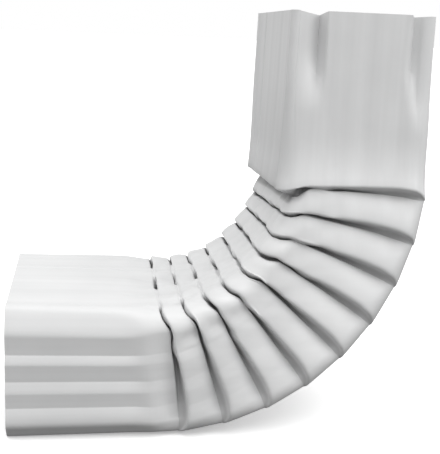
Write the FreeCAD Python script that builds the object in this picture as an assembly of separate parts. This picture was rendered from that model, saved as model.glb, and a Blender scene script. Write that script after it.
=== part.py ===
import FreeCAD, Part
import os, math

os.makedirs("parts", exist_ok=True)

# Downspout elbow: one roll-formed, painted aluminium sheet, folded round the
# bend in nine pleats.  Millimetres.  The bend centre is the working origin:
# X runs towards the heel of the upright leg, Z up the upright leg, and the
# sideways leg runs to -X.  The section is measured by s, from the throat
# (inside of the bend) to the heel (outside), and y, from cheek to cheek.

# ---- driving dimensions -------------------------------------------------
CHEEK = 60.3            # section size from throat to heel
FACE = 82.6             # section size from cheek to cheek
SHEET = 0.5             # sheet with its paint
R_HEEL = 113.0          # bend radius of the heel
R_THROAT = 54.2         # bend radius of the throat at the pleat lips
PLEATS = 9
PLEAT_FIRST = 5.2       # angle of the first pleat below the horizontal
PLEAT_STEP = 9.83       # angle between pleats
V_TOP = 65.2            # height of the crimped mouth above the bend centre
V_THROAT_TOP = 50.6     # throat of the upright leg at the mouth
V_HEEL_TOP = 111.8      # heel of the upright leg at the mouth
V_THROAT_LIP = 49.0     # throat of the upright leg at its lip
V_HEEL_LIP = 112.4      # heel of the upright leg at its lip
H_END = 59.0            # plain mouth of the sideways leg
H_THROAT = 52.5         # depth of the throat of the sideways leg
H_HEEL = 111.3          # depth of the heel of the sideways leg
CORNER_BEND = 8.5       # throat corners of the pleats, along the cheek
CORNER_LEG = 11.2       # throat corners of the sideways leg
CORNER_TOP = 3.6        # throat corners of the upright mouth
CORNER_LIP = 5.2        # throat corners of the upright leg at its lip
HEEL_BEND = 8.0         # heel corners of upright leg and pleats
HEEL_LEG = 9.5          # heel corners of the sideways leg
FLUTES = ((11.9, 20.4, 24.6, 1.0), (24.6, 32.4, 37.6, 0.9), (37.6, 44.4, 49.6, 0.8))
FLUTE_DEPTH = 1.05      # flutes above: start, deepest line, end, share of this depth
PANEL_DEPTH = 0.55      # recess of the throat and heel panels
SEAM_DEPTH = 0.45       # lock seam line on the throat panel
VALLEY_DEPTH = 0.8      # hollow along the middle of the pleated throat
LEG_INSET = 0.5         # throat and heel of the legs stand in from the pleat lips
LEG_FLARE = 2.6         # cheeks of the upright leg stand in from its lip
ROLL = {7: 1.0, 8: 2.3, 9: 4.2, 10: 3.2}    # roll of the section, degrees, at the last pleats and the mouth
ORIGIN = (-59.0, 0.0, -81.9)    # centre of the plain mouth, the part's origin


def smooth(x):
    x = max(0.0, min(1.0, x))
    return x * x * (3.0 - 2.0 * x)


def clip(x):
    return max(0.0, min(1.0, x))


class Table:
    """Monotone cubic through a short table of values."""

    def __init__(self, pairs):
        self.x = [p[0] for p in pairs]
        self.y = [p[1] for p in pairs]
        n = len(pairs)
        h = [self.x[i + 1] - self.x[i] for i in range(n - 1)]
        d = [(self.y[i + 1] - self.y[i]) / h[i] for i in range(n - 1)]
        m = [0.0] * n
        m[0], m[-1] = d[0], d[-1]
        for i in range(1, n - 1):
            if d[i - 1] * d[i] > 0.0:
                a = 2.0 * h[i] + h[i - 1]
                b = h[i] + 2.0 * h[i - 1]
                m[i] = (a + b) / (a / d[i - 1] + b / d[i])
        self.m, self.h = m, h

    def __call__(self, v):
        x, y, m, h = self.x, self.y, self.m, self.h
        if v <= x[0]:
            return y[0]
        if v >= x[-1]:
            return y[-1]
        i = 0
        while v > x[i + 1]:
            i += 1
        t = (v - x[i]) / h[i]
        t2, t3 = t * t, t * t * t
        return (y[i] * (2 * t3 - 3 * t2 + 1) + h[i] * m[i] * (t3 - 2 * t2 + t)
                + y[i + 1] * (3 * t2 - 2 * t3) + h[i] * m[i + 1] * (t3 - t2))


# Pleat profile against w, which is 0 on the heel and 1 on the throat: edge of
# the lip, width of the groove after it, drop to the next segment, depth of the
# groove, and softness of its edges.
LIP = Table([(0.0, -0.5), (0.015, -1.3), (0.035, -2.5), (0.06, -3.4), (0.11, -4.3), (0.2, -4.8), (0.39, -4.1),
             (0.56, -2.9), (0.73, -1.5), (0.82, -0.8), (0.9, -0.2), (0.95, 1.0), (1.0, 2.2)])
LIP_LEG = Table([(0.0, -0.5), (0.015, -1.3), (0.035, -2.5), (0.06, -3.4), (0.11, -4.4), (0.2, -5.2), (0.39, -4.8),
                 (0.56, -3.8), (0.73, -2.3), (0.8, -1.8), (0.84, -1.3), (0.88, -0.5), (0.91, 0.2), (0.95, 1.0),
                 (0.97, 1.3), (1.0, 1.6)])
GAP = Table([(0.0, 0.8), (0.015, 1.1), (0.035, 2.0), (0.06, 2.8), (0.11, 3.5), (0.2, 4.0), (0.39, 3.5),
             (0.56, 2.6), (0.73, 1.6), (0.82, 1.0), (0.86, 1.0), (0.91, 1.6), (0.95, 1.7), (0.98, 1.4), (1.0, 1.3)])
STEP = Table([(0.0, 0.28), (0.015, 0.8), (0.035, 1.7), (0.06, 2.7), (0.11, 3.9), (0.2, 4.6), (0.39, 4.0),
              (0.56, 3.0), (0.73, 2.2), (0.82, 1.9), (0.9, 1.7), (1.0, 1.4)])
DEEP = Table([(0.0, 0.28), (0.015, 0.8), (0.035, 1.7), (0.06, 2.7), (0.11, 4.1), (0.2, 5.4), (0.39, 6.6),
              (0.56, 6.9), (0.73, 6.4), (0.82, 5.9), (0.9, 5.5), (1.0, 5.0)])
SOFT = Table([(0.0, 0.9), (0.035, 0.9), (0.11, 1.0), (0.2, 1.1), (0.39, 1.05), (0.56, 0.9), (0.73, 0.75),
              (0.9, 0.6), (1.0, 0.5)])
FOOT = Table([(0.0, 0.9), (0.06, 0.7), (0.2, 0.45), (1.0, 0.4)])
# crimp dents of the upright mouth, against the way down: depth, and place of the wall
DENT_A = Table([(0.0, 5.6), (12.0, 5.6), (17.0, 5.2), (24.0, 3.6), (30.0, 1.7), (34.0, 0.6), (38.0, 0.0)])
DENT_B = Table([(0.0, 3.2), (14.0, 3.4), (24.0, 3.0), (34.0, 1.7), (40.0, 0.6), (46.0, 0.0)])
WALL_A = Table([(0.0, 13.2), (24.0, 12.6), (31.0, 11.6), (37.0, 10.0)])
WALL_B = Table([(0.0, 10.8), (20.0, 10.4), (34.0, 8.0), (46.0, 5.5)])
# turn of the corner along its length: two bends and a flat between them
TURN_T = Table([(0.0, 0.0), (0.06, 20.0), (0.12, 44.0), (0.2, 59.0), (0.35, 65.0), (0.6, 68.0), (0.88, 71.0),
                (0.95, 79.0), (1.0, 90.0)])
TURN_H = Table([(0.0, 0.0), (0.1, 14.0), (0.2, 33.0), (0.3, 43.0), (0.5, 47.0), (0.7, 51.0), (0.8, 58.0),
                (0.9, 75.0), (1.0, 90.0)])
# pleat by pleat: how far the throat grooves are pinched shut, where, their
# slant to the far side, shift, and puckers beside the throat corners
PINCH = [0.0, 0.0, 0.0, 0.2, 0.5, 0.65, 0.8, 0.95, 1.0, 1.0]
WANDER = [0.0, 0.0, 0.0, 0.04, -0.04, 0.05, -0.03, 0.04, -0.05, 0.02]
SKEW = [0.0, 0.8, 2.8, 0.8, 0.4, 0.0, 0.0, 0.0, 0.0, 0.0]
SHIFT = [0.0, 0.0, -0.6, -0.3, -0.2, 0.2, 0.5, 0.5, 0.1, -0.1]
PUCKER = [0.0, 0.0, 0.0, 0.1, 0.25, 0.4, 0.7, 0.9, 1.0, 0.0]
FLUTE_FADE = {3: 0.02, 4: 0.04, 5: 0.08, 6: 0.14, 7: 0.22, 8: 0.3}


# ---- section samples ----------------------------------------------------
THROAT_NEAR = [0.0, 0.07, 0.13, 0.19, 0.3, 0.55, 0.8, 0.88, 0.915, 0.94, 0.97, 1.0]
THROAT_FAR = [0.1, 0.2, 0.25, 0.31, 0.38, 0.437, 0.454, 0.47, 0.486, 0.503, 0.56, 0.62, 0.68, 0.8, 0.89, 0.915, 0.94, 1.0]
HEEL_HALF = [0.0, 0.45, 0.8, 0.88, 0.905, 0.93, 0.96, 1.0]
CORNER_STEPS = [5.4, 11.0, 18.0, 34.0, 50.0, 66.0, 79.0, 85.0]


def cheek_flat():
    low, high = CORNER_LEG, CHEEK - HEEL_LEG
    xs = [low, high, 18.4, 19.2, 46.7, 47.4, 48.0]
    for a, b, c, d in FLUTES:
        xs += [a, a + 0.8, 0.5 * a + 0.5 * b, b - 0.6, b, b + 0.5, b + 1.3, c - 1.1]
    xs = sorted(x for x in xs if low <= x <= high)
    out = [xs[0]]
    for x in xs[1:]:
        if x - out[-1] > 0.3:
            out.append(x)
    out[-1] = xs[-1]
    return [2.0 * (x - low) / (high - low) - 1.0 for x in out]


SAMPLES = []            # (region, value, side), once round from the throat middle
SAMPLES += [("throat", f, -1) for f in THROAT_NEAR]
SAMPLES += [("corner_t", a, -1) for a in CORNER_STEPS]
SAMPLES += [("cheek", f, -1) for f in cheek_flat()]
SAMPLES += [("corner_h", a, -1) for a in reversed(CORNER_STEPS)]
SAMPLES += [("heel", f, -1) for f in reversed(HEEL_HALF)]
SAMPLES += [("heel", f, 1) for f in HEEL_HALF[1:]]
SAMPLES += [("corner_h", a, 1) for a in CORNER_STEPS]
SAMPLES += [("cheek", f, 1) for f in reversed(cheek_flat())]
SAMPLES += [("corner_t", a, 1) for a in reversed(CORNER_STEPS)]
SAMPLES += [("throat", f, 1) for f in reversed(THROAT_FAR)]
COUNT = len(SAMPLES)
CURVES = {}


def corner_curve(turn, share):
    """Turn of a corner, and its way along and across the cheek for unit length
    along it; share 0 is a plain arc and 1 the two bends."""
    key = (turn is TURN_T, round(share, 6))
    if key not in CURVES:
        n = 400
        th = [math.radians((1.0 - share) * 90.0 * j / n + share * turn(j / n)) for j in range(n + 1)]
        along, across = [0.0], [0.0]
        for j in range(n):
            mid = 0.5 * (th[j] + th[j + 1])
            along.append(along[-1] + math.sin(mid))
            across.append(across[-1] + math.cos(mid))
        f = 1.0 / along[-1]
        CURVES[key] = ([f * v for v in along], [f * v for v in across], th)
    return CURVES[key]


def between(values, u):
    x = u * (len(values) - 1)
    j = min(int(x), len(values) - 2)
    return values[j] + (values[j + 1] - values[j]) * (x - j)


def place(sample, rc):
    """s, y, and the outward normal in the section, for the corner sizes rc."""
    region, v, side = sample
    rt, rh, share = rc
    if region in ("throat", "corner_t"):
        along, across, th = corner_curve(TURN_T, share)
        size, sign, base = rt, -1.0, 0.0
    else:
        along, across, th = corner_curve(TURN_H, share)
        size, sign, base = rh, 1.0, CHEEK
    wide = size * across[-1]
    if region == "cheek":
        return rt + 0.5 * (v + 1.0) * (CHEEK - rt - rh), side * 0.5 * FACE, 0.0, float(side)
    if region in ("throat", "heel"):
        return base, side * v * (0.5 * FACE - wide), sign, 0.0
    u = v / 90.0
    a = between(th, u)
    s = base - sign * size * between(along, u)
    y = side * (0.5 * FACE - wide + size * between(across, u))
    return s, y, sign * math.cos(a), side * math.sin(a)


def flute(sample):
    region, v, side = sample
    if region != "cheek":
        return 0.0
    x = CORNER_LEG + 0.5 * (v + 1.0) * (CHEEK - CORNER_LEG - HEEL_LEG)
    out = 0.0
    for a, b, c, d in FLUTES:
        if a < x < c:
            out = max(out, d * min(clip((x - a) / (b - a)), clip(1.0 - (x - b) / (c - b)) ** 1.5))
    return out


def cheek_bump(sample, at, wide):
    region, v, side = sample
    if region != "cheek":
        return 0.0
    s = place(sample, (CORNER_BEND, HEEL_BEND, 0.0))[0]
    return math.exp(-((s - at) / wide) ** 2)


def panel(sample):
    region, v, side = sample
    if region not in ("throat", "heel"):
        return 0.0
    d = PANEL_DEPTH * (1.0 - smooth((v - 0.895) / 0.04))
    if region == "throat" and side > 0:
        d += SEAM_DEPTH * math.exp(-((v - 0.47) / 0.018) ** 2)
    return d


def valley(sample):
    region, v, side = sample
    return 1.0 - smooth((v - 0.44) / 0.24) if region == "throat" else 0.0


def pinch(sample, k):
    """How far groove k is pinched shut, between the middle and the corners of the throat."""
    region, v, side = sample
    if region != "throat":
        return 0.0
    u = v + WANDER[k] * side
    start, end = (0.08, 0.88) if side < 0 else (0.2, 0.58)
    return smooth((u - start) / 0.1) * (1.0 - smooth((u - end) / 0.1)) * PINCH[k]


def dent(sample, below):
    """Depth of the crimp dents, below millimetres under the upright mouth."""
    region, v, side = sample
    s = place(sample, corner_at(0, 0.0))[0]
    out = 0.0
    for heel in (False, True):
        if region not in (("cheek", "corner_h", "heel") if heel else ("cheek", "corner_t")):
            continue
        e = CHEEK - s if heel else s
        if region == "heel":
            e = (v - 1.0) * 30.0
        wall = (WALL_B if heel else WALL_A)(below)
        deep = (DENT_B if heel else DENT_A)(below)
        lead = -2.5 if heel else 1.6
        rise = clip((e - lead) / (wall - lead))
        rise = 0.6 * rise + 0.4 * smooth(rise)
        fall = 1.0 - smooth((e - wall) / (1.5 + 0.06 * below))
        out = max(out, deep * rise * fall)
    return out


SHAPE = [(flute(q), cheek_bump(q, 22.0, 1.6), cheek_bump(q, 13.2, 1.8), panel(q), valley(q),
          [pinch(q, k) for k in range(PLEATS + 1)]) for q in SAMPLES]


# ---- frames along the path ----------------------------------------------
def angle(k):
    return math.radians(PLEAT_FIRST + PLEAT_STEP * (k - 1))


def throat_radius(k):
    return R_THROAT - {PLEATS: 0.4, PLEATS - 1: 0.1}.get(k, 0.0)


def heel_radius(k):
    return R_HEEL - {PLEATS: 2.6, PLEATS - 1: 1.5, PLEATS - 2: 0.7}.get(k, 0.0)


def roll(k):
    return math.radians(ROLL.get(k, 0.0))


def rolled(r, y, middle, a):
    """Turn of the section by a about its own middle."""
    return (middle + (r - middle) * math.cos(a) - y * math.sin(a), y * math.cos(a) + (r - middle) * math.sin(a))


def on_plane(k, s, y):
    low, high = throat_radius(k), heel_radius(k)
    r, y = rolled(low + (high - low) * s / CHEEK, y, 0.5 * (low + high), roll(k))
    a = angle(k)
    return (r * math.cos(a), y, -r * math.sin(a))


def add(a, b, f=1.0):
    return (a[0] + f * b[0], a[1] + f * b[1], a[2] + f * b[2])


def sub(a, b):
    return (a[0] - b[0], a[1] - b[1], a[2] - b[2])


def dot(a, b):
    return a[0] * b[0] + a[1] * b[1] + a[2] * b[2]


def cross(a, b):
    return (a[1] * b[2] - a[2] * b[1], a[2] * b[0] - a[0] * b[2], a[0] * b[1] - a[1] * b[0])


def norm(a):
    d = math.sqrt(dot(a, a))
    return (a[0] / d, a[1] / d, a[2] / d)


def corner_at(k, t):
    """Corner sizes along the part, and how far they are two bends and a flat."""
    if k == 0:
        grow = 1.0 - smooth((t - 0.35) / 0.6)
        return (CORNER_LIP + (CORNER_TOP - CORNER_LIP) * grow, HEEL_BEND, 0.0)
    grow = {PLEATS: 0.3 + 0.7 * smooth(t / 0.3), PLEATS - 1: 0.12 + 0.18 * t, PLEATS - 2: 0.12 * t}.get(k, 0.0)
    return (CORNER_BEND + (CORNER_LEG - CORNER_BEND) * grow, HEEL_BEND + (HEEL_LEG - HEEL_BEND) * grow, grow)


def run(k, i, t):
    """Middle of the sheet on segment k (0 upright leg .. 9 sideways leg)."""
    sample = SAMPLES[i]
    fl, crease, pucker, pan, val, pin = SHAPE[i]
    s, y, ns, ny = place(sample, corner_at(k, t))
    w = 1.0 - s / CHEEK
    if k == 0:
        a = (V_THROAT_TOP + (V_HEEL_TOP - V_THROAT_TOP) * s / CHEEK, y, V_TOP)
        x = V_THROAT_LIP + (V_HEEL_LIP - V_THROAT_LIP) * s / CHEEK
        b = (x, y, -x * math.tan(angle(1)))
        out = (ns, ny, 0.0)
    elif k == PLEATS:
        a = on_plane(k, s, y)
        r, yr = rolled(H_THROAT + (H_HEEL - H_THROAT) * s / CHEEK, y, 0.5 * (H_THROAT + H_HEEL), roll(k + 1))
        b = (-H_END, yr, -r)
        ns, ny = rolled(ns, ny, 0.0, 0.5 * (roll(k) + roll(k + 1)))
        out = (0.0, ny, -ns)
    else:
        a, b = on_plane(k, s, y), on_plane(k + 1, s, y)
        m = 0.5 * (angle(k) + angle(k + 1))
        ns, ny = rolled(ns, ny, 0.0, 0.5 * (roll(k) + roll(k + 1)))
        out = (ns * math.cos(m), ny, -ns * math.sin(m))
    chord = sub(b, a)
    size = math.sqrt(dot(chord, chord))
    d = norm(chord)
    near = smooth((w - 0.1) / 0.4)
    far = smooth((w - 0.9) / 0.1) * (0.5 + 0.5 * max(-1.0, min(1.0, y / 33.0)))
    gap = GAP(w) * (1.0 - 0.4 * smooth((w - 0.76) / 0.08)) if k == 1 else GAP(w)
    x0, x1 = 0.0, size
    if k > 0:
        x0 = (LIP_LEG if k == 1 else LIP)(w) + SHIFT[k] * near + SKEW[k] * far + gap + 1.2 * FOOT(w)
    if k < PLEATS:
        x1 = size + (LIP if k else LIP_LEG)(w) + SHIFT[k + 1] * near + SKEW[k + 1] * far - 1.2 * SOFT(w)
    length = x1 - x0
    x = t * length
    off = 0.0
    if k == 0:
        flare = LEG_INSET + (LEG_FLARE - LEG_INSET) * abs(ny)
        off -= flare * (1.0 - clip((x - (length - 22.0)) / 22.0) ** 2.2)
        off -= pan * (1.0 - 0.6 * smooth((x - (length - 14.0)) / 10.0))
        off -= 0.3 * crease
        off -= dent(sample, x)
    else:
        h = STEP(w) * (1.0 - 0.85 * pin[k]) + 0.5 * val
        if k == 1:
            h *= 1.0 + 1.2 * smooth((w - 0.87) / 0.1)
        if k == PLEATS:
            rest = -LEG_INSET * smooth(w / 0.08) if w < 0.5 else -LEG_INSET
            off += -h + (h + rest) * smooth(x / 11.0)
            fade = smooth((x - 8.0) / 10.0)
            off -= FLUTE_DEPTH * fl * (0.3 + 0.7 * fade)
            off -= pan * (0.4 + 0.6 * fade)
            off -= VALLEY_DEPTH * val * (1.0 - smooth((x - 6.0) / 16.0))
        else:
            off -= h * (1.0 - t) ** 1.5
            off -= FLUTE_DEPTH * fl * FLUTE_FADE.get(k, 0.0)
            off -= PUCKER[k] * pucker * (1.0 - smooth((t - 0.5) / 0.5))
            off -= 0.4 * pan
            off -= VALLEY_DEPTH * val
    p = add(add(a, d, x0 + x), out, off)
    if k == 0:
        p = (p[0], p[1], p[2] - 0.3 * dent(sample, 0.0) * (1.0 - smooth(x / 30.0)))
    return p, out


def run_tangent(k, i, t):
    e = 1e-4
    a = max(0.0, t - e)
    b = min(1.0, t + e)
    return norm(sub(run(k, i, b)[0], run(k, i, a)[0]))


KNOTS = [0.0] * 4 + [0.2, 0.4, 0.6, 0.8] + [1.0] * 4


def spline_weights(u):
    """Weights of eight control points on a clamped cubic spline, and their rates."""
    def basis(i, p):
        if p == 0:
            inside = KNOTS[i] <= u < KNOTS[i + 1] or (u >= 1.0 and KNOTS[i] < KNOTS[i + 1] == 1.0)
            return 1.0 if inside else 0.0
        out = 0.0
        if KNOTS[i + p] > KNOTS[i]:
            out += (u - KNOTS[i]) / (KNOTS[i + p] - KNOTS[i]) * basis(i, p - 1)
        if KNOTS[i + p + 1] > KNOTS[i + 1]:
            out += (KNOTS[i + p + 1] - u) / (KNOTS[i + p + 1] - KNOTS[i + 1]) * basis(i + 1, p - 1)
        return out

    def rate(i):
        out = 0.0
        if KNOTS[i + 3] > KNOTS[i]:
            out += 3.0 / (KNOTS[i + 3] - KNOTS[i]) * basis(i, 2)
        if KNOTS[i + 4] > KNOTS[i + 1]:
            out -= 3.0 / (KNOTS[i + 4] - KNOTS[i + 1]) * basis(i + 1, 2)
        return out

    return [basis(i, 3) for i in range(8)], [rate(i) for i in range(8)]


def fold(k, i, weights):
    """Points and directions across pleat k, from the lip down the groove to the next segment."""
    lip, n0 = run(k - 1, i, 1.0)
    start, n1 = run(k, i, 0.0)
    d0, d1 = run_tangent(k - 1, i, 1.0), run_tangent(k, i, 0.0)
    w = 1.0 - place(SAMPLES[i], corner_at(k, 0.0))[0] / CHEEK
    soft, sole, deep = SOFT(w), FOOT(w), DEEP(w) * (1.0 - 0.95 * SHAPE[i][5][k])
    e1 = norm(add(d0, d1))
    n = norm(add(n0, n1))
    n = norm(add(n, e1, -dot(n, e1)))
    edge = add(lip, d0, 1.2 * soft)
    foot = add(start, d1, -1.2 * sole)
    gap = sub(foot, edge)
    wide = dot(gap, e1)
    level = -dot(gap, n)
    side = add(add(gap, e1, -wide), n, level)
    deep = max(deep, level)
    shut = 1.0 - smooth((0.55 - w) / 0.33)
    sharp = smooth(deep / 2.5)          # shallow folds are soft bends
    half = sharp * max(0.6, 0.3 * wide) + (1.0 - sharp) * 0.15 * wide
    x2 = sharp * -0.2 * soft + (1.0 - sharp) * 0.15 * wide
    x3 = shut * (0.45 * wide - half) + (1.0 - shut) * (0.22 + 0.15 * (1.0 - sharp)) * wide
    x4 = shut * (0.45 * wide + half) + (1.0 - shut) * (wide - sharp * min(0.3, 0.1 * wide) - (1.0 - sharp) * 0.35 * wide)
    z3 = deep * (shut + (1.0 - shut) * 0.78)

    def at(o, f, x, z):
        return add(add(add(o, side, f), e1, x), n, -z)

    ctrl = [lip, add(lip, d0, soft),
            at(edge, 0.0, x2, min(soft, 0.4 * deep)),
            at(edge, 0.3, x3, z3),
            at(edge, 0.7, x4, deep),
            at(foot, 0.0, 0.0, min(0.6 * sole, deep - level)),
            add(start, d1, -sole), start]
    rows = []
    for f, g in weights:
        p, t = (0.0, 0.0, 0.0), (0.0, 0.0, 0.0)
        for c, x, y in zip(ctrl, f, g):
            p, t = add(p, c, x), add(t, c, y)
        rows.append((p, norm(t)))
    return rows


# ---- rows of section points ---------------------------------------------
V_STOPS = [0.0, 0.1, 0.18, 0.25, 0.32, 0.39, 0.46, 0.53, 0.6, 0.68, 0.76, 0.84, 0.92, 1.0]
S_STOPS = [0.0, 0.2, 0.42, 0.68, 1.0]
H_STOPS = [0.0, 0.06, 0.12, 0.18, 0.25, 0.33, 0.44, 0.7, 1.0]
F_STOPS = [j / 10.0 for j in range(11)]
NEAR = 0.002            # step for the directions at the ends of a patch
PIECES = 8              # faces round the section


def skins(row):
    outer, inner = [], []
    for i in range(COUNT):
        p, t = row[i]
        a, b = row[i - 1][0], row[(i + 1) % COUNT][0]
        la = math.sqrt(dot(sub(p, a), sub(p, a)))
        lb = math.sqrt(dot(sub(b, p), sub(b, p)))
        around = add(tuple(c * lb / la for c in sub(p, a)), sub(b, p), la / lb)
        n = norm(cross(t, around))
        outer.append(add(p, n, 0.5 * SHEET))
        inner.append(add(p, n, -0.5 * SHEET))
    return outer, inner


def vec(p):
    return FreeCAD.Vector(p[0] - ORIGIN[0], p[1] - ORIGIN[1], p[2] - ORIGIN[2])


# one common parameter along every section, from the crimped mouth
first = [run(0, i, 0.7)[0] for i in range(COUNT)]
PARAM = [0.0]
for i in range(COUNT):
    d = sub(first[(i + 1) % COUNT], first[i])
    PARAM.append(PARAM[-1] + math.sqrt(dot(d, d)))
PARAM = [p / PARAM[-1] for p in PARAM]
CUTS = [PARAM[(COUNT * j) // PIECES] for j in range(PIECES)] + [1.0]


def around_curve(points):
    c = Part.BSplineCurve()
    c.interpolate(Points=points, PeriodicFlag=True, Parameters=PARAM)
    return c


def patch(rows, marks):
    """Smooth surface through section rows; the second and the last but one
    row only give the directions at the ends."""
    curves = [around_curve(r) for r in rows]
    knots, mults = curves[0].getKnots(), curves[0].getMultiplicities()
    poles = [c.getPoles() for c in curves]
    lead = [(q - p) * (1.0 / NEAR) for p, q in zip(poles[0], poles[1])]
    trail = [(q - p) * (1.0 / NEAR) for p, q in zip(poles[-2], poles[-1])]
    poles = [poles[0]] + poles[2:-2] + [poles[-1]]
    marks = [marks[0]] + marks[2:-2] + [marks[-1]]
    grid, lines = [], None
    for j in range(len(poles[0])):
        c = Part.BSplineCurve()
        c.interpolate(Points=[p[j] for p in poles], Parameters=marks,
                      InitialTangent=lead[j], FinalTangent=trail[j], Scale=False)
        grid.append(c.getPoles())
        lines = c
    s = Part.BSplineSurface()
    s.buildFromPolesMultsKnots(grid, mults, lines.getMultiplicities(), knots,
                               lines.getKnots(), True, False, 3, lines.Degree)
    out = []
    for a, b in zip(CUTS[:-1], CUTS[1:]):
        piece = s.copy()
        piece.segment(a, b, marks[0], marks[-1])
        out.append(piece.toShape())
    return out


def rim(one, two):
    c1, c2 = around_curve(one), around_curve(two)
    s = Part.BSplineSurface()
    s.buildFromPolesMultsKnots([list(p) for p in zip(c1.getPoles(), c2.getPoles())],
                               c1.getMultiplicities(), [2, 2], c1.getKnots(), [0.0, 1.0],
                               True, False, 3, 1)
    out = []
    for a, b in zip(CUTS[:-1], CUTS[1:]):
        piece = s.copy()
        piece.segment(a, b, 0.0, 1.0)
        out.append(piece.toShape())
    return out


groups = []             # (rows of (point, direction), marks), mouth to mouth
for k in range(0, PLEATS + 1):
    if k:
        marks = F_STOPS[:1] + [NEAR] + F_STOPS[1:-1] + [1.0 - NEAR] + F_STOPS[-1:]
        weights = [spline_weights(u) for u in marks]
        across = [fold(k, i, weights) for i in range(COUNT)]
        groups.append(([[across[i][j] for i in range(COUNT)] for j in range(len(marks))], marks))
    stops = V_STOPS if k == 0 else (H_STOPS if k == PLEATS else S_STOPS)
    marks = stops[:1] + [NEAR] + stops[1:-1] + [1.0 - NEAR] + stops[-1:]
    groups.append(([[(run(k, i, t)[0], run_tangent(k, i, t)) for i in range(COUNT)]
                    for t in marks], marks))

faces = []
ends = {}
last = [None, None]
for g, (rows, marks) in enumerate(groups):
    both = [skins(r) for r in rows]
    for side in (0, 1):
        pts = [[vec(p) for p in b[side]] for b in both]
        if last[side] is not None:
            pts[0] = last[side]     # neighbouring patches share their border
        faces += patch(pts, marks)
        if g == 0:
            ends[("first", side)] = pts[0]
        last[side] = pts[-1]
        ends[("last", side)] = pts[-1]
faces += rim(ends[("first", 0)], ends[("first", 1)])
faces += rim(ends[("last", 0)], ends[("last", 1)])

skin = Part.makeCompound(faces)
skin.sewShape(1e-4)
solids = [Part.makeSolid(s) for s in skin.Shells]
solid = max(solids, key=lambda s: abs(s.Volume))
if solid.Volume < 0:
    solid.reverse()
print("samples", COUNT, "faces", len(faces), "shells", len(skin.Shells), "valid", solid.isValid(),
      "closed", solid.isClosed(), "volume", round(solid.Volume, 1), "box", solid.BoundBox)
solid.exportStep("parts/elbow.step")
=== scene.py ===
import math
import bpy
import numpy as np
from mathutils import Matrix, Vector


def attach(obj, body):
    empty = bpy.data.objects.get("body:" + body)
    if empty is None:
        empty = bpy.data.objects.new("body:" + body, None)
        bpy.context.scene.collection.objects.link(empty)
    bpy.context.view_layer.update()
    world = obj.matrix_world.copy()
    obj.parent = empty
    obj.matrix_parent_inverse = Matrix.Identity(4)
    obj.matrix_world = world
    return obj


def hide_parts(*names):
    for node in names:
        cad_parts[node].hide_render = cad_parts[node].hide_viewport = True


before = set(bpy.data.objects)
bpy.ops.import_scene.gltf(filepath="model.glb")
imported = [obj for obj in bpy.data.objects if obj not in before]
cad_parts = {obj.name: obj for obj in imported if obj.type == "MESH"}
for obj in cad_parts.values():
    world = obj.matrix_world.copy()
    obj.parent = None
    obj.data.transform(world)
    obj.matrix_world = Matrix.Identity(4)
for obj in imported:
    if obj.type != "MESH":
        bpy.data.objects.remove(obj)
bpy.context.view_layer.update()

# Downspout elbow: one painted sheet, folded round the bend in nine pleats.
# The shape is worked out in millimetres from the bend centre, as in the CAD
# model: X towards the heel of the upright leg, Z up that leg, and the
# sideways leg along -X.  s runs from the throat to the heel of the section
# and y from cheek to cheek.

# ---- dimensions ----------------------------------------------------------
CHEEK, FACE, SHEET = 60.3, 82.6, 0.5
R_HEEL, R_THROAT = 113.0, 54.2
PLEATS, PLEAT_FIRST, PLEAT_STEP = 9, 5.2, 9.83
V_TOP, V_THROAT_TOP, V_HEEL_TOP = 65.2, 50.6, 111.8
V_THROAT_LIP, V_HEEL_LIP = 49.0, 112.4
H_END, H_THROAT, H_HEEL = 59.0, 52.5, 111.3
CORNER_BEND, CORNER_LEG, CORNER_TOP, CORNER_LIP = 8.5, 11.2, 3.6, 6.5      # throat corners, along the cheek
HEEL_BEND, HEEL_LEG = 8.0, 9.5                # heel corners, along the cheek
FLUTES = ((11.9, 20.4, 24.6, 1.0), (24.6, 32.4, 37.6, 0.9), (37.6, 44.4, 49.6, 0.8))
FLUTE_DEPTH = 1.05
PANEL_DEPTH, SEAM_DEPTH, VALLEY_DEPTH = 0.55, 0.45, 0.8
LEG_INSET, LEG_FLARE = 0.5, 2.6
ROLL = {7: 1.0, 8: 2.3, 9: 4.2, 10: 3.2}        # roll of the section, degrees, at the last pleats and the mouth
ORIGIN = np.array([-59.0, 0.0, -81.9])


def smooth(x):
    x = np.clip(x, 0.0, 1.0)
    return x * x * (3.0 - 2.0 * x)


class Table:
    """Monotone cubic through a short table of values."""

    def __init__(self, pairs):
        self.x = np.array([p[0] for p in pairs], float)
        self.y = np.array([p[1] for p in pairs], float)
        h = np.diff(self.x)
        d = np.diff(self.y) / h
        m = np.zeros(len(pairs))
        m[0], m[-1] = d[0], d[-1]
        for i in range(1, len(pairs) - 1):
            if d[i - 1] * d[i] > 0.0:
                a, b = 2.0 * h[i] + h[i - 1], h[i] + 2.0 * h[i - 1]
                m[i] = (a + b) / (a / d[i - 1] + b / d[i])
        self.m, self.h = m, h

    def __call__(self, v):
        v = np.clip(v, self.x[0], self.x[-1])
        i = np.clip(np.searchsorted(self.x, v, side="right") - 1, 0, len(self.h) - 1)
        h = self.h[i]
        t = (v - self.x[i]) / h
        t2, t3 = t * t, t * t * t
        return (self.y[i] * (2 * t3 - 3 * t2 + 1) + h * self.m[i] * (t3 - 2 * t2 + t)
                + self.y[i + 1] * (3 * t2 - 2 * t3) + h * self.m[i + 1] * (t3 - t2))


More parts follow.
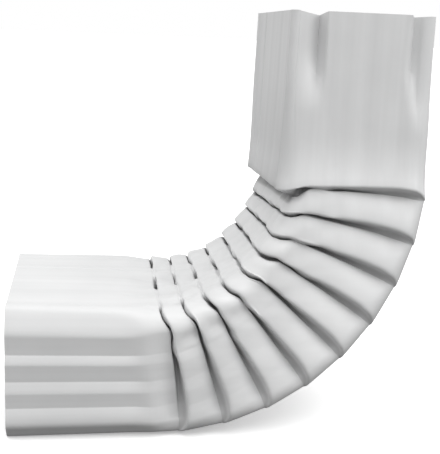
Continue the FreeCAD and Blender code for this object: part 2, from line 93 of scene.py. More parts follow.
# Pleat profile against w, which is 0 on the heel and 1 on the throat: edge of
# the lip, width of the groove after it, drop to the next segment, depth of the
# groove, and softness of its edges.
LIP = Table([(0.0, -0.5), (0.015, -1.3), (0.035, -2.5), (0.06, -3.4), (0.11, -4.3), (0.2, -4.8), (0.39, -4.1),
             (0.56, -2.9), (0.73, -1.5), (0.82, -0.8), (0.9, -0.2), (0.95, 1.0), (1.0, 2.2)])
LIP_LEG = Table([(0.0, -0.5), (0.015, -1.3), (0.035, -2.5), (0.06, -3.5), (0.11, -4.6), (0.2, -4.9), (0.39, -4.1),
                 (0.56, -3.2), (0.73, -2.2), (0.8, -1.8), (0.84, -1.3), (0.88, -0.5), (0.91, 0.2), (0.95, 1.0),
                 (0.97, 1.3), (1.0, 1.6)])
GAP_LEG = Table([(0.0, 0.8), (0.015, 1.1), (0.035, 2.0), (0.06, 2.9), (0.11, 3.7), (0.2, 3.7), (0.39, 2.8),
                 (0.56, 2.0), (0.73, 1.4), (0.82, 0.7), (0.86, 0.6), (0.91, 0.96), (0.95, 1.02), (0.98, 0.84), (1.0, 0.78)])
GAP = Table([(0.0, 0.8), (0.015, 1.1), (0.035, 2.0), (0.06, 2.8), (0.11, 3.5), (0.2, 4.0), (0.39, 3.5),
             (0.56, 2.6), (0.73, 1.6), (0.82, 1.0), (0.86, 1.0), (0.91, 1.6), (0.95, 1.7), (0.98, 1.4), (1.0, 1.3)])
STEP = Table([(0.0, 0.28), (0.015, 0.8), (0.035, 1.7), (0.06, 2.7), (0.11, 3.9), (0.2, 4.6), (0.39, 4.0),
              (0.56, 3.0), (0.73, 2.2), (0.82, 1.9), (0.9, 1.7), (1.0, 1.4)])
DEEP = Table([(0.0, 0.28), (0.015, 0.8), (0.035, 1.7), (0.06, 2.7), (0.11, 4.1), (0.2, 5.4), (0.39, 6.6),
              (0.56, 6.9), (0.73, 6.4), (0.82, 5.9), (0.9, 5.5), (1.0, 5.0)])
SOFT = Table([(0.0, 0.9), (0.035, 0.9), (0.11, 1.0), (0.2, 1.1), (0.39, 1.05), (0.56, 0.9), (0.73, 0.75),
              (0.9, 0.6), (1.0, 0.5)])
# painted shade down in the grooves of the pleats, against w
SHADE = Table([(0.0, 0.0), (0.06, 0.25), (0.2, 0.45), (0.45, 0.55), (0.7, 0.55), (0.85, 0.7), (0.92, 1.0), (1.0, 1.0)])
FOOT = Table([(0.0, 0.9), (0.06, 0.7), (0.2, 0.45), (1.0, 0.4)])
# crimp dents of the upright mouth, against the way down: depth, and place of the wall
DENT_A = Table([(0.0, 5.6), (12.0, 5.6), (17.0, 5.2), (24.0, 3.6), (30.0, 1.7), (34.0, 0.6), (38.0, 0.0)])
DENT_B = Table([(0.0, 3.2), (14.0, 3.4), (24.0, 3.0), (34.0, 1.7), (40.0, 0.6), (46.0, 0.0)])
WALL_A = Table([(0.0, 13.2), (24.0, 12.6), (31.0, 11.6), (37.0, 10.0)])
WALL_B = Table([(0.0, 10.8), (20.0, 10.4), (34.0, 8.0), (46.0, 5.5)])
# turn of the corner along its length: two bends and a flat between them
TURN_T = Table([(0.0, 0.0), (0.06, 20.0), (0.12, 44.0), (0.2, 59.0), (0.35, 65.0), (0.6, 68.0), (0.88, 71.0),
                (0.95, 79.0), (1.0, 90.0)])
TURN_H = Table([(0.0, 0.0), (0.1, 14.0), (0.2, 33.0), (0.3, 43.0), (0.5, 47.0), (0.7, 51.0), (0.8, 58.0),
                (0.9, 75.0), (1.0, 90.0)])
PINCH = [0.0, 0.0, 0.0, 0.2, 0.5, 0.65, 0.8, 0.95, 1.0, 1.0]
WANDER = [0.0, 0.0, 0.0, 0.04, -0.04, 0.05, -0.03, 0.04, -0.05, 0.02]
SKEW = [0.0, 0.8, 2.8, 0.8, 0.4, 0.0, 0.0, 0.0, 0.0, 0.0]
SHIFT = [0.0, 0.0, -0.6, -0.3, -0.2, 0.2, 0.5, 0.5, 0.1, -0.1]
PUCKER = [0.0, 0.0, 0.0, 0.1, 0.25, 0.4, 0.7, 0.9, 1.0, 0.0]
FLUTE_FADE = {3: 0.02, 4: 0.04, 5: 0.08, 6: 0.14, 7: 0.22, 8: 0.3}


def corner_curve(turn, share):
    """Turn of a corner, and its way along and across the cheek for unit length
    along it; share 0 is a plain arc and 1 the two bends."""
    u = np.linspace(0.0, 1.0, 401)
    th = np.radians((1.0 - share) * 90.0 * u + share * turn(u))
    mid = 0.5 * (th[1:] + th[:-1])
    along = np.concatenate([[0.0], np.cumsum(np.sin(mid))])
    across = np.concatenate([[0.0], np.cumsum(np.cos(mid))])
    return u, along / along[-1], across / along[-1], th


# ---- samples round the section --------------------------------------------
T_, C_T, CK, C_H, H_ = 0, 1, 2, 3, 4      # throat, throat corner, cheek, heel corner, heel


def half_flat(n_mid, n_edge):
    a = sorted(list(np.linspace(0.0, 0.84, n_mid)) + [0.44, 0.455, 0.47, 0.485, 0.5])
    b = list(np.linspace(0.865, 0.95, n_edge)) + [0.975, 1.0]
    return a + b


def cheek_flat(extra):
    low, high = CORNER_LEG, CHEEK - HEEL_LEG
    xs = [low, high]
    for a, b, c, d in FLUTES:
        xs += [a - 0.4, a, a + 0.4, b - 0.5, b - 0.2, b + 0.1, b + 0.4, b + 0.9, b + 1.6, c - 0.9]
        xs += list(np.linspace(a, b, 4 + extra)[1:-1]) + [0.5 * (b + c) + 0.4]
    xs = sorted(x for x in xs if low <= x <= high)
    out = [xs[0]]
    for x in xs[1:]:
        if x - out[-1] > 0.12:
            out.append(x)
    out[-1] = xs[-1]
    return [2.0 * (x - low) / (high - low) - 1.0 for x in out]


def samples(n_mid, n_edge, corner_n, wall_n):
    hf, cf = half_flat(n_mid, n_edge), cheek_flat(wall_n)
    cs = list(np.linspace(0, 90, corner_n + 2)[1:-1])
    rows = [(T_, f, -1) for f in hf] + [(C_T, a, -1) for a in cs] + [(CK, f, -1) for f in cf]
    rows += [(C_H, a, -1) for a in reversed(cs)] + [(H_, f, -1) for f in reversed(hf)]
    rows += [(H_, f, 1) for f in hf[1:]] + [(C_H, a, 1) for a in cs]
    rows += [(CK, f, 1) for f in reversed(cf)] + [(C_T, a, 1) for a in reversed(cs)]
    rows += [(T_, f, 1) for f in reversed(hf[1:])]
    return np.array(rows, float)


class Sheet:
    """The middle of the sheet, for one set of samples round the section."""

    def __init__(self, rows):
        self.region = rows[:, 0].astype(int)
        self.v = rows[:, 1]
        self.side = rows[:, 2]
        self.n = len(rows)
        r, v = self.region, self.v
        self.flat = (r == T_) | (r == H_)
        x = np.where(r == CK, CORNER_LEG + 0.5 * (v + 1.0) * (CHEEK - CORNER_LEG - HEEL_LEG), 0.0)
        fl = np.zeros(self.n)
        for a, b, c, d in FLUTES:
            down = np.clip((x - a) / (b - a), 0.0, 1.0)
            up = np.clip(1.0 - (x - b) / (c - b), 0.0, 1.0) ** 1.5
            fl = np.maximum(fl, np.where((x > a) & (x < c), d * np.minimum(down, up), 0.0))
        self.flute = np.where(r == CK, fl, 0.0)
        sb = self.place((CORNER_BEND, HEEL_BEND, 0.0))[0]
        self.pucker = np.where(r == CK, np.exp(-((sb - 13.2) / 1.8) ** 2), 0.0)
        self.crease = np.where(r == CK, 0.3 * np.exp(-((sb - 22.0) / 1.6) ** 2), 0.0)
        # faint streaks left along the legs by the forming rolls
        streak = 0.05 * np.sin(sb / 1.15 + 0.4) + 0.04 * np.sin(sb / 0.71 + 2.0) + 0.04 * np.sin(sb / 1.9)
        yb = self.place((CORNER_TOP, HEEL_BEND, 0.0))[1]
        across = 0.05 * np.sin(yb / 1.3 + 0.8) + 0.04 * np.sin(yb / 0.83 + 2.1) + 0.05 * np.sin(yb / 2.6)
        self.streak = np.where(r == CK, streak, np.where(self.flat, across * smooth((1.0 - v) / 0.05), 0.0))
        # the grooves are pinched shut between the middle and the corners of the throat
        near = self.side < 0
        self.pinch = []
        for k in range(PLEATS + 1):
            u = v + WANDER[k] * np.where(near, -1.0, 1.0)
            pinch = smooth((u - np.where(near, 0.08, 0.2)) / 0.1)
            pinch = pinch * (1.0 - smooth((u - np.where(near, 0.88, 0.58)) / 0.1)) * PINCH[k]
            self.pinch.append(np.where(r == T_, pinch, 0.0))
        pan = PANEL_DEPTH * (1.0 - smooth((v - 0.895) / 0.04))
        pan = pan + np.where((r == T_) & (self.side > 0), SEAM_DEPTH * np.exp(-((v - 0.47) / 0.018) ** 2), 0.0)
        self.panel = np.where(self.flat, pan, 0.0)
        self.valley = np.where(r == T_, 1.0 - smooth((v - 0.44) / 0.24), 0.0)

    def place(self, rc):
        """s, y and outward normal for the corner sizes rc = (throat, heel)."""
        r, v, side = self.region, self.v, self.side
        rt, rh, share = rc
        u = np.clip(v / 90.0, 0.0, 1.0)
        ct, ch = corner_curve(TURN_T, share), corner_curve(TURN_H, share)
        st, yt, at = (np.interp(u, ct[0], ct[i]) for i in (1, 2, 3))
        sh, yh, ah = (np.interp(u, ch[0], ch[i]) for i in (1, 2, 3))
        wt, wh = rt * ct[2][-1], rh * ch[2][-1]
        s = np.select([r == T_, r == H_, r == CK, r == C_T],
                      [0.0 * v, 0.0 * v + CHEEK, rt + 0.5 * (v + 1.0) * (CHEEK - rt - rh), rt * st],
                      CHEEK - rh * sh)
        y = side * np.select([r == T_, r == H_, r == CK, r == C_T],
                             [v * (0.5 * FACE - wt), v * (0.5 * FACE - wh), 0.0 * v + 0.5 * FACE,
                              0.5 * FACE - wt + rt * yt], 0.5 * FACE - wh + rh * yh)
        ns = np.select([r == T_, r == H_, r == CK, r == C_T],
                       [-1.0 + 0 * v, 1.0 + 0 * v, 0 * v, -np.cos(at)], np.cos(ah))
        ny = side * np.select([self.flat, r == CK, r == C_T], [0 * v, 1.0 + 0 * v, np.sin(at)], np.sin(ah))
        return s, y, ns, ny

    def dent(self, below):
        """Crimp dents beside the corners of the upright mouth, below mm under it."""
        r = self.region
        s = self.place(corner_at(0, 0.0))[0]
        out = np.zeros(self.n)
        for heel in (False, True):
            e = CHEEK - s if heel else s
            on = (r == CK) | (r == (C_H if heel else C_T)) | (heel & (r == H_))
            e = np.where(heel & (r == H_), (np.abs(self.v) - 1.0) * 30.0, e)
            wall = (WALL_B if heel else WALL_A)(below)
            deep = (DENT_B if heel else DENT_A)(below)
            lead = -2.5 if heel else 1.6
            rise = np.clip((e - lead) / (wall - lead), 0.0, 1.0)
            rise = 0.6 * rise + 0.4 * smooth(rise)
            fall = 1.0 - smooth((e - wall) / (1.5 + 0.06 * below))
            out = np.maximum(out, np.where(on, deep * rise * fall, 0.0))
        return out

    def run(self, k, t):
        """Segment k, 0 the upright leg to 9 the sideways leg, at part t of its length."""
        s, y, ns, ny = self.place(corner_at(k, t))
        w = 1.0 - s / CHEEK
        z0 = 0.0 * s
        if k == 0:
            a = np.stack([V_THROAT_TOP + (V_HEEL_TOP - V_THROAT_TOP) * s / CHEEK, y, z0 + V_TOP], 1)
            x = V_THROAT_LIP + (V_HEEL_LIP - V_THROAT_LIP) * s / CHEEK
            b = np.stack([x, y, -x * math.tan(angle(1))], 1)
            out = np.stack([ns, ny, z0], 1)
        elif k == PLEATS:
            a = on_plane(k, s, y)
            r, side = rolled(H_THROAT + (H_HEEL - H_THROAT) * s / CHEEK, y, 0.5 * (H_THROAT + H_HEEL), roll(k + 1))
            b = np.stack([z0 - H_END, side, -r], 1)
            ns, ny = rolled(ns, ny, 0.0, 0.5 * (roll(k) + roll(k + 1)))
            out = np.stack([z0, ny, -ns], 1)
        else:
            a, b = on_plane(k, s, y), on_plane(k + 1, s, y)
            m = 0.5 * (angle(k) + angle(k + 1))
            ns, ny = rolled(ns, ny, 0.0, 0.5 * (roll(k) + roll(k + 1)))
            out = np.stack([ns * math.cos(m), ny, -ns * math.sin(m)], 1)
        chord = b - a
        size = np.linalg.norm(chord, axis=1)
        d = chord / size[:, None]
        near = smooth((w - 0.1) / 0.4)
        far = smooth((w - 0.9) / 0.1) * (0.5 + 0.5 * np.clip(y / 33.0, -1.0, 1.0))
        gap = GAP_LEG(w) if k == 1 else GAP(w)
        x0, x1 = z0, size
        if k > 0:
            x0 = (LIP_LEG if k == 1 else LIP)(w) + SHIFT[k] * near + SKEW[k] * far + gap + 1.2 * FOOT(w)
        if k < PLEATS:
            x1 = size + (LIP if k else LIP_LEG)(w) + SHIFT[k + 1] * near + SKEW[k + 1] * far - 1.2 * SOFT(w)
        length = x1 - x0
        x = t * length
        off = z0.copy()
        if k == 0:
            flare = LEG_INSET + (LEG_FLARE - LEG_INSET) * np.abs(ny)
            off -= flare * (1.0 - np.clip((x - (length - 20.0)) / 20.0, 0.0, 1.0) ** 2.4)
            off -= self.panel * (1.0 - 0.6 * smooth((x - (length - 14.0)) / 10.0))
            off -= self.crease
            off -= self.dent(x)
            off -= 0.9 * np.abs(ny) * np.clip(1.0 - s / 22.0, 0.0, 1.0) ** 2 * float(smooth((t - 0.3) / 0.3))
            off += self.streak * (1.0 - smooth((x - (length - 16.0)) / 12.0))
        else:
            h = STEP(w) * (1.0 - 0.85 * self.pinch[k]) + 0.5 * self.valley
            if k == 1:
                h = h * (1.0 + 1.2 * smooth((w - 0.87) / 0.1))
            if k == PLEATS:
                rest = np.where(w < 0.5, -LEG_INSET * smooth(w / 0.08), -LEG_INSET)
                off += -h + (h + rest) * smooth(x / 11.0)
                fade = smooth((x - 8.0) / 10.0)
                off -= FLUTE_DEPTH * self.flute * (0.3 + 0.7 * fade)
                off -= self.panel * (0.4 + 0.6 * fade)
                off -= VALLEY_DEPTH * self.valley * (1.0 - smooth((x - 6.0) / 16.0))
            else:
                off -= h * (1.0 - t) ** 1.5
                off -= FLUTE_DEPTH * self.flute * FLUTE_FADE.get(k, 0.0)
                off -= PUCKER[k] * self.pucker * (1.0 - smooth((t - 0.5) / 0.5))
                off -= 0.4 * self.panel
                off += self.crumple(k, t, s, y, w)
                off -= VALLEY_DEPTH * self.valley
        p = a + d * (x0 + x)[:, None] + out * off[:, None]
        if k == 0:
            p[:, 2] -= 0.3 * self.dent(z0) * (1.0 - smooth(x / 30.0))
        return p, out

    def crumple(self, k, t, s, y, w):
        """Small waves left in the sheet by the folding, most beside the throat corners."""
        a = 0.17 * smooth((w - 0.45) / 0.4) * math.sin(math.pi * t) ** 0.7
        q = s + 0.8 * np.abs(y) * np.sign(y)
        return a * (np.sin(q / 2.3 + 1.9 * k + 2.4 * t) + 0.7 * np.sin(q / 3.7 - 2.7 * k - 3.1 * t + 1.0)
                    + 0.6 * np.sin(q / 6.1 + 4.1 * k))

    def tangent(self, k, t):
        e = 1e-4
        q = self.run(k, min(1.0, t + e))[0] - self.run(k, max(0.0, t - e))[0]
        return q / np.linalg.norm(q, axis=1)[:, None]

    def fold(self, k, marks):
        """Across pleat k, from the lip down the groove to the next segment."""
        lip, n0 = self.run(k - 1, 1.0)
        start, n1 = self.run(k, 0.0)
        d0, d1 = self.tangent(k - 1, 1.0), self.tangent(k, 0.0)
        unit = lambda q: q / np.linalg.norm(q, axis=1)[:, None]
        dots = lambda p, q: np.sum(p * q, axis=1)
        w = 1.0 - self.place(corner_at(k, 0.0))[0] / CHEEK
        soft, sole, deep = SOFT(w), FOOT(w), DEEP(w) * (1.0 - 0.95 * self.pinch[k])
        e1 = unit(d0 + d1)
        n = unit(n0 + n1)
        n = unit(n - e1 * dots(n, e1)[:, None])
        edge = lip + d0 * (1.2 * soft)[:, None]
        foot = start - d1 * (1.2 * sole)[:, None]
        gap = foot - edge
        wide = dots(gap, e1)
        side = gap - e1 * wide[:, None] - n * dots(gap, n)[:, None]
        level = -dots(gap, n)
        deep = np.maximum(deep, level)
        shut = 1.0 - smooth((0.55 - w) / 0.33)
        sharp = smooth(deep / 2.5)          # shallow folds are soft bends
        half = sharp * np.maximum(0.6, 0.3 * wide) + (1.0 - sharp) * 0.15 * wide
        x2 = sharp * -0.2 * soft + (1.0 - sharp) * 0.15 * wide
        x3 = shut * (0.45 * wide - half) + (1.0 - shut) * (0.22 + 0.15 * (1.0 - sharp)) * wide
        x4 = shut * (0.45 * wide + half)
        x4 = x4 + (1.0 - shut) * (wide - sharp * np.minimum(0.3, 0.1 * wide) - (1.0 - sharp) * 0.35 * wide)
        z3 = deep * (shut + (1.0 - shut) * 0.78)
        at = lambda o, f, x, z: o + side * f + e1 * x[:, None] - n * z[:, None]
        ctrl = [lip, lip + d0 * soft[:, None],
                at(edge, 0.0, x2, np.minimum(1.0 * soft, 0.4 * deep)),
                at(edge, 0.3, x3, z3),
                at(edge, 0.7, x4, deep),
                at(foot, 0.0, 0.0 * sole, np.minimum(0.6 * sole, deep - level)),
                start - d1 * sole[:, None], start]
        # painted shade down in the groove, less where the groove is pinched shut
        painted_shade = SHADE(w) * (1.0 - self.pinch[k])
        rows = []
        for u in marks:
            f, g = spline_weights(u)
            p = sum(c * x for c, x in zip(ctrl, f))
            t = sum(c * x for c, x in zip(ctrl, g))
            # painted shade, strongest in the middle of the groove
            rows.append((p, unit(t), painted_shade * float(smooth((u - 0.2) / 0.2) * (1.0 - smooth((u - 0.7) / 0.2)))))
        return rows

    def under_lip(self, k, t):
        """Painted shade on the first segment, under the overhanging lip of the upright leg."""
        if k != 1:
            return np.zeros(self.n)
        w = 1.0 - self.place(corner_at(k, t))[0] / CHEEK
        return 0.8 * smooth((w - 0.972) / 0.025) * float(1.0 - smooth((t - 0.42) / 0.2))

    def skin(self, stops, depth):
        """Rows of points from mouth to mouth, depth off the middle of the sheet."""
        v_stops, s_stops, h_stops, f_stops = stops
        rows = []
        for k in range(PLEATS + 1):
            if k:
                rows += self.fold(k, f_stops[1:-1])
            run = v_stops if k == 0 else (h_stops if k == PLEATS else s_stops)
            rows += [(self.run(k, t)[0], self.tangent(k, t), self.under_lip(k, t)) for t in run]
        # painted shade of each row, for the colour of the outer skin
        self.painted_shade = np.array([row[2] for row in rows])
        out = []
        for p, t, painted_shade in rows:
            a, b = p - np.roll(p, 1, axis=0), np.roll(p, -1, axis=0) - p
            la, lb = np.linalg.norm(a, axis=1), np.linalg.norm(b, axis=1)
            around = a * (lb / la)[:, None] + b * (la / lb)[:, None]
            n = np.cross(t, around)
            n /= np.linalg.norm(n, axis=1)[:, None]
            out.append(p + n * depth)
        return np.array(out)


KNOTS = [0.0] * 4 + [0.2, 0.4, 0.6, 0.8] + [1.0] * 4


def spline_weights(u):
    """Weights of eight control points on a clamped cubic spline, and their rates."""
    def basis(i, p):
        if p == 0:
            inside = KNOTS[i] <= u < KNOTS[i + 1] or (u >= 1.0 and KNOTS[i] < KNOTS[i + 1] == 1.0)
            return 1.0 if inside else 0.0
        out = 0.0
        if KNOTS[i + p] > KNOTS[i]:
            out += (u - KNOTS[i]) / (KNOTS[i + p] - KNOTS[i]) * basis(i, p - 1)
        if KNOTS[i + p + 1] > KNOTS[i + 1]:
            out += (KNOTS[i + p + 1] - u) / (KNOTS[i + p + 1] - KNOTS[i + 1]) * basis(i + 1, p - 1)
        return out

    def rate(i):
        out = 0.0
        if KNOTS[i + 3] > KNOTS[i]:
            out += 3.0 / (KNOTS[i + 3] - KNOTS[i]) * basis(i, 2)
        if KNOTS[i + 4] > KNOTS[i + 1]:
            out -= 3.0 / (KNOTS[i + 4] - KNOTS[i + 1]) * basis(i + 1, 2)
        return out

    return [basis(i, 3) for i in range(8)], [rate(i) for i in range(8)]


def angle(k):
    return math.radians(PLEAT_FIRST + PLEAT_STEP * (k - 1))


def throat_radius(k):
    return R_THROAT - {PLEATS: 0.4, PLEATS - 1: 0.1}.get(k, 0.0)


def heel_radius(k):
    return R_HEEL - {PLEATS: 2.6, PLEATS - 1: 1.5, PLEATS - 2: 0.7}.get(k, 0.0)


def roll(k):
    return math.radians(ROLL.get(k, 0.0))


def rolled(r, y, middle, a):
    """Turn of the section by a about its own middle."""
    return (middle + (r - middle) * math.cos(a) - y * math.sin(a), y * math.cos(a) + (r - middle) * math.sin(a))


def on_plane(k, s, y):
    low, high = throat_radius(k), heel_radius(k)
    r, y = rolled(low + (high - low) * s / CHEEK, y, 0.5 * (low + high), roll(k))
    a = angle(k)
    return np.stack([r * math.cos(a), y, -r * math.sin(a)], 1)


def corner_at(k, t):
    """Corner sizes along the part: the legs have the larger ones."""
    if k == 0:
        grow = 1.0 - float(smooth((t - 0.35) / 0.6))
        return (CORNER_LIP + (CORNER_TOP - CORNER_LIP) * grow, HEEL_BEND, 0.0)
    grow = {PLEATS: 0.3 + 0.7 * float(smooth(t / 0.3)), PLEATS - 1: 0.12 + 0.18 * t,
            PLEATS - 2: 0.12 * t}.get(k, 0.0)
    return (CORNER_BEND + (CORNER_LEG - CORNER_BEND) * grow, HEEL_BEND + (HEEL_LEG - HEEL_BEND) * grow, grow)


# ---- the sheet as one closed mesh ------------------------------------------
def lin(n):
    return list(np.linspace(0.0, 1.0, n))


OUT_STOPS = (lin(30),
             lin(13),
             list(np.linspace(0, 0.46, 18)) + [0.6, 0.8, 1.0],
             lin(19))
IN_STOPS = (lin(14), lin(6), list(np.linspace(0, 0.46, 9)) + [0.7, 1.0],
            lin(10))
full = samples(13, 5, 11, 1)
if len(full) % 2:
    full = np.delete(full, 1, axis=0)
sheet = Sheet(full)
outer = sheet.skin(OUT_STOPS, 0.5 * SHEET)
# painted shade of the outer skin
painted_shade = sheet.painted_shade
inner = Sheet(full).skin(IN_STOPS, -0.5 * SHEET)[:, ::2]

verts, faces = [], []


def lay(grid, flip):
    base = sum(len(v) for v in verts)
    rows, n = grid.shape[:2]
    verts.append(grid.reshape(-1, 3))
    j, i = np.meshgrid(np.arange(rows - 1), np.arange(n), indexing="ij")
    a, b = base + j * n + i, base + j * n + (i + 1) % n
    c, d = a + n, b + n
    q = np.stack([a, c, d, b] if flip else [a, b, d, c], -1).reshape(-1, 4)
    faces.extend(q.tolist())
    return base, rows, n


bo, ro, no = lay(outer, False)
bi, ri, ni = lay(inner, True)
rim_start = len(faces)
for row_o, row_i, flip in ((0, 0, False), (ro - 1, ri - 1, True)):
    for i in range(ni):
        o0, o1, o2 = (bo + row_o * no + (2 * i + e) % no for e in range(3))
        i0, i1 = (bi + row_i * ni + (i + e) % ni for e in range(2))
        for tri in ((o0, i0, o1), (o1, i0, i1), (o1, i1, o2)):
            faces.append(tri[::-1] if flip else tri)
points = (np.concatenate(verts) - ORIGIN) / 1000.0

mesh = bpy.data.meshes.new("elbow_sheet")
mesh.from_pydata(points.tolist(), [], faces)
mesh.validate()
mesh.polygons.foreach_set("use_smooth", [True] * len(mesh.polygons))
mesh.set_sharp_from_angle(angle=math.radians(55))
fold_shade = mesh.attributes.new("painted_fold_shade", "FLOAT", "POINT")      # painted shade, up to 1 down in the grooves of the pleats and under the lip of the upright leg
fold_shade.data.foreach_set("value", np.concatenate([painted_shade.ravel(), np.zeros(inner.shape[0] * inner.shape[1])]))
elbow = bpy.data.objects.new("elbow_sheet", mesh)
bpy.context.collection.objects.link(elbow)


# ---- materials ---------------------------------------------------------------
def node(tree, kind, **values):
    n = tree.nodes.new(kind)
    for key, value in values.items():
        setattr(n, key, value)
    return n


def enamel():
    mat = bpy.data.materials.new("white_enamel")
    mat.use_nodes = True
    t = mat.node_tree
    shader = t.nodes["Principled BSDF"]
    coord = node(t, "ShaderNodeTexCoord")
    blotch = node(t, "ShaderNodeTexNoise")
    blotch.inputs["Scale"].default_value = 38.0
    blotch.inputs["Detail"].default_value = 4.0
    t.links.new(coord.outputs["Object"], blotch.inputs["Vector"])
    tint = node(t, "ShaderNodeValToRGB")
    tint.color_ramp.elements[0].position = 0.3
    tint.color_ramp.elements[0].color = (0.595, 0.598, 0.60, 1)
    tint.color_ramp.elements[1].position = 0.7
    tint.color_ramp.elements[1].color = (0.635, 0.637, 0.638, 1)
    t.links.new(blotch.outputs["Fac"], tint.inputs["Fac"])
    streaks = []
    for scale in ((190.0, 150.0, 3.0), (3.0, 150.0, 190.0)):      # up the upright leg, along the sideways leg
        stretch = node(t, "ShaderNodeVectorMath", operation="MULTIPLY")
        stretch.inputs[1].default_value = scale
        t.links.new(coord.outputs["Object"], stretch.inputs[0])
        line = node(t, "ShaderNodeTexNoise")
        line.inputs["Scale"].default_value = 1.0
        line.inputs["Detail"].default_value = 3.0
        t.links.new(stretch.outputs["Vector"], line.inputs["Vector"])
        streaks.append(line)
    place = node(t, "ShaderNodeSeparateXYZ")
    t.links.new(coord.outputs["Object"], place.inputs["Vector"])
    upright = node(t, "ShaderNodeMapRange")
    upright.inputs["From Min"].default_value = 0.03
    upright.inputs["From Max"].default_value = 0.085
    t.links.new(place.outputs["Z"], upright.inputs["Value"])
    pick = node(t, "ShaderNodeMix", data_type="FLOAT")
    t.links.new(upright.outputs["Result"], pick.inputs[0])
    t.links.new(streaks[1].outputs["Fac"], pick.inputs[2])
    t.links.new(streaks[0].outputs["Fac"], pick.inputs[3])
    level = node(t, "ShaderNodeMapRange")
    level.inputs["From Min"].default_value = 0.3
    level.inputs["From Max"].default_value = 0.7
    level.inputs["To Min"].default_value = 0.955
    level.inputs["To Max"].default_value = 1.035
    t.links.new(pick.outputs[0], level.inputs["Value"])
    streaked = node(t, "ShaderNodeVectorMath", operation="SCALE")
    t.links.new(tint.outputs["Color"], streaked.inputs[0])
    t.links.new(level.outputs["Result"], streaked.inputs["Scale"])
    # painted shade: the colour goes to dark grey down in the pleat grooves and under the lip of the upright leg
    fold = node(t, "ShaderNodeAttribute", attribute_name="painted_fold_shade")
    painted_shade_mix = node(t, "ShaderNodeMix", data_type="RGBA")
    t.links.new(fold.outputs["Fac"], painted_shade_mix.inputs[0])
    t.links.new(streaked.outputs["Vector"], painted_shade_mix.inputs[6])
    painted_shade_mix.inputs[7].default_value = (0.17, 0.17, 0.172, 1)
    t.links.new(painted_shade_mix.outputs[2], shader.inputs["Base Color"])
    rough = node(t, "ShaderNodeMapRange")
    rough.inputs["From Min"].default_value = 0.3
    rough.inputs["From Max"].default_value = 0.7
    rough.inputs["To Min"].default_value = 0.33
    rough.inputs["To Max"].default_value = 0.43
    t.links.new(blotch.outputs["Fac"], rough.inputs["Value"])
    t.links.new(rough.outputs["Result"], shader.inputs["Roughness"])
    peel = node(t, "ShaderNodeTexNoise")
    peel.inputs["Scale"].default_value = 900.0
    peel.inputs["Detail"].default_value = 2.0
    t.links.new(coord.outputs["Object"], peel.inputs["Vector"])
    bump = node(t, "ShaderNodeBump")
    bump.inputs["Strength"].default_value = 0.04
    bump.inputs["Distance"].default_value = 0.0002
    t.links.new(peel.outputs["Fac"], bump.inputs["Height"])
    t.links.new(bump.outputs["Normal"], shader.inputs["Normal"])
    shader.inputs["Specular IOR Level"].default_value = 0.45
    return mat


def cut_edge():
    mat = bpy.data.materials.new("cut_edge")
    mat.use_nodes = True
    t = mat.node_tree
    shader = t.nodes["Principled BSDF"]
    coord = node(t, "ShaderNodeTexCoord")
    grain = node(t, "ShaderNodeTexNoise")
    grain.inputs["Scale"].default_value = 700.0
    t.links.new(coord.outputs["Object"], grain.inputs["Vector"])
    tint = node(t, "ShaderNodeValToRGB")
    tint.color_ramp.elements[0].color = (0.5, 0.5, 0.51, 1)
    tint.color_ramp.elements[1].color = (0.68, 0.68, 0.69, 1)
    t.links.new(grain.outputs["Fac"], tint.inputs["Fac"])
    t.links.new(tint.outputs["Color"], shader.inputs["Base Color"])
    shader.inputs["Metallic"].default_value = 0.8
    shader.inputs["Roughness"].default_value = 0.42
    return mat


mesh.materials.append(enamel())
mesh.materials.append(cut_edge())
index = np.zeros(len(mesh.polygons), int)
index[rim_start:] = 1
mesh.polygons.foreach_set("material_index", index.tolist())
mesh.update()

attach(elbow, "root")
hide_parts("elbow")


# ---- stage, light and camera --------------------------------------------------
def stage_material():
    mat = bpy.data.materials.new("stage")
    mat.use_nodes = True
    t = mat.node_tree
    shader = t.nodes["Principled BSDF"]
    shader.inputs["Base Color"].default_value = (0.95, 0.95, 0.95, 1)
    shader.inputs["Emission Color"].default_value = (1.0, 1.0, 1.0, 1)
    shader.inputs["Emission Strength"].default_value = 0.25
    shader.inputs["Roughness"].default_value = 0.9
    shader.inputs["Specular IOR Level"].default_value = 0.1
    return mat


floor_z = float(points[:, 2].min()) - 0.0002
stage_mesh = bpy.data.meshes.new("stage")
stage_mesh.from_pydata([(-60, -60, floor_z), (60, -60, floor_z), (60, 60, floor_z), (-60, 60, floor_z)],
                       [], [(0, 1, 2, 3)])
stage_mesh.materials.append(stage_material())
stage = bpy.data.objects.new("stage", stage_mesh)
bpy.context.collection.objects.link(stage)
stage.visible_diffuse = False         # the floor shows, and throws no light back up
stage.visible_glossy = False

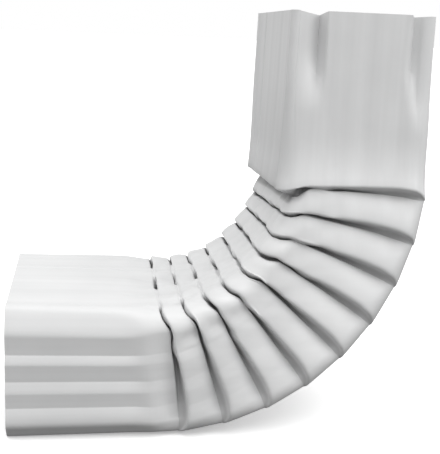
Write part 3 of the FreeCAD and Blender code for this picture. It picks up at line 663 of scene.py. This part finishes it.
scene = bpy.context.scene
world = bpy.data.worlds.new("studio")
scene.world = world
world.use_nodes = True
wt = world.node_tree
coord = node(wt, "ShaderNodeTexCoord")
split = node(wt, "ShaderNodeSeparateXYZ")
wt.links.new(coord.outputs["Generated"], split.inputs["Vector"])
sky = node(wt, "ShaderNodeValToRGB")           # soft tent of light above, dim below
ramp = sky.color_ramp
ramp.elements[0].position, ramp.elements[1].position = 0.43, 0.49
for position in (0.53, 0.58):
    ramp.elements.new(position)
for element, grey in zip(ramp.elements, (0.13, 1.0, 1.0, 0.95)):
    element.color = (grey, grey, grey, 1)
lift = node(wt, "ShaderNodeMapRange")
lift.inputs["From Min"].default_value = -1.0
lift.inputs["From Max"].default_value = 1.0
wt.links.new(split.outputs["Z"], lift.inputs["Value"])
wt.links.new(lift.outputs["Result"], sky.inputs["Fac"])
wt.links.new(sky.outputs["Color"], wt.nodes["Background"].inputs["Color"])
wt.nodes["Background"].inputs["Strength"].default_value = 1.0
scene.view_settings.view_transform = "Standard"
scene.view_settings.look = "None"


key = bpy.data.lights.new("key", "SUN")
key.energy = 1.15
key.angle = math.radians(40)
lamp = bpy.data.objects.new("key", key)
lamp.rotation_euler = Vector((-0.1, 0.5, -0.86)).to_track_quat("-Z", "Y").to_euler()
bpy.context.collection.objects.link(lamp)

side_key = bpy.data.lights.new("side", "SUN")
side_key.energy = 0.85
side_key.angle = math.radians(30)
side_lamp = bpy.data.objects.new("side", side_key)
side_lamp.rotation_euler = Vector((-0.75, 0.48, -0.42)).to_track_quat("-Z", "Y").to_euler()
bpy.context.collection.objects.link(side_lamp)

left_key = bpy.data.lights.new("left", "SUN")
left_key.energy = 0.4
left_key.angle = math.radians(50)
left_lamp = bpy.data.objects.new("left", left_key)
left_lamp.rotation_euler = Vector((0.85, 0.25, -0.45)).to_track_quat("-Z", "Y").to_euler()
bpy.context.collection.objects.link(left_lamp)

# camera fitted to the photograph's viewing angle
FOCUS_PX, RX, RY, RZ = 911.0, 0.206, -0.141, 0.042
AT = np.array([-24.4, -394.6, 53.8])


def turn(axis, a):
    return np.array(Matrix.Rotation(a, 3, axis))


rot = turn("Z", RZ) @ turn("X", RX) @ turn("Y", RY)      # rows: right, down, forward
to_world = lambda q: Vector((q[0], q[2], -q[1]))
right, down, ahead = (to_world(rot[i]) for i in range(3))
camera = bpy.data.objects.new("camera", bpy.data.cameras.new("camera"))
m = Matrix((right, -down, -ahead)).transposed().to_4x4()
m.translation = Vector(((AT - ORIGIN) / 1000.0).tolist())
camera.matrix_world = m
camera.data.sensor_fit = "AUTO"
camera.data.sensor_width = 36.0
camera.data.lens = FOCUS_PX * 36.0 / 454.0
camera.data.clip_start = 0.01
camera.data.clip_end = 200.0
bpy.context.collection.objects.link(camera)
scene.camera = camera

print("samples", len(full), "triangles", sum(len(f) - 2 for f in faces))
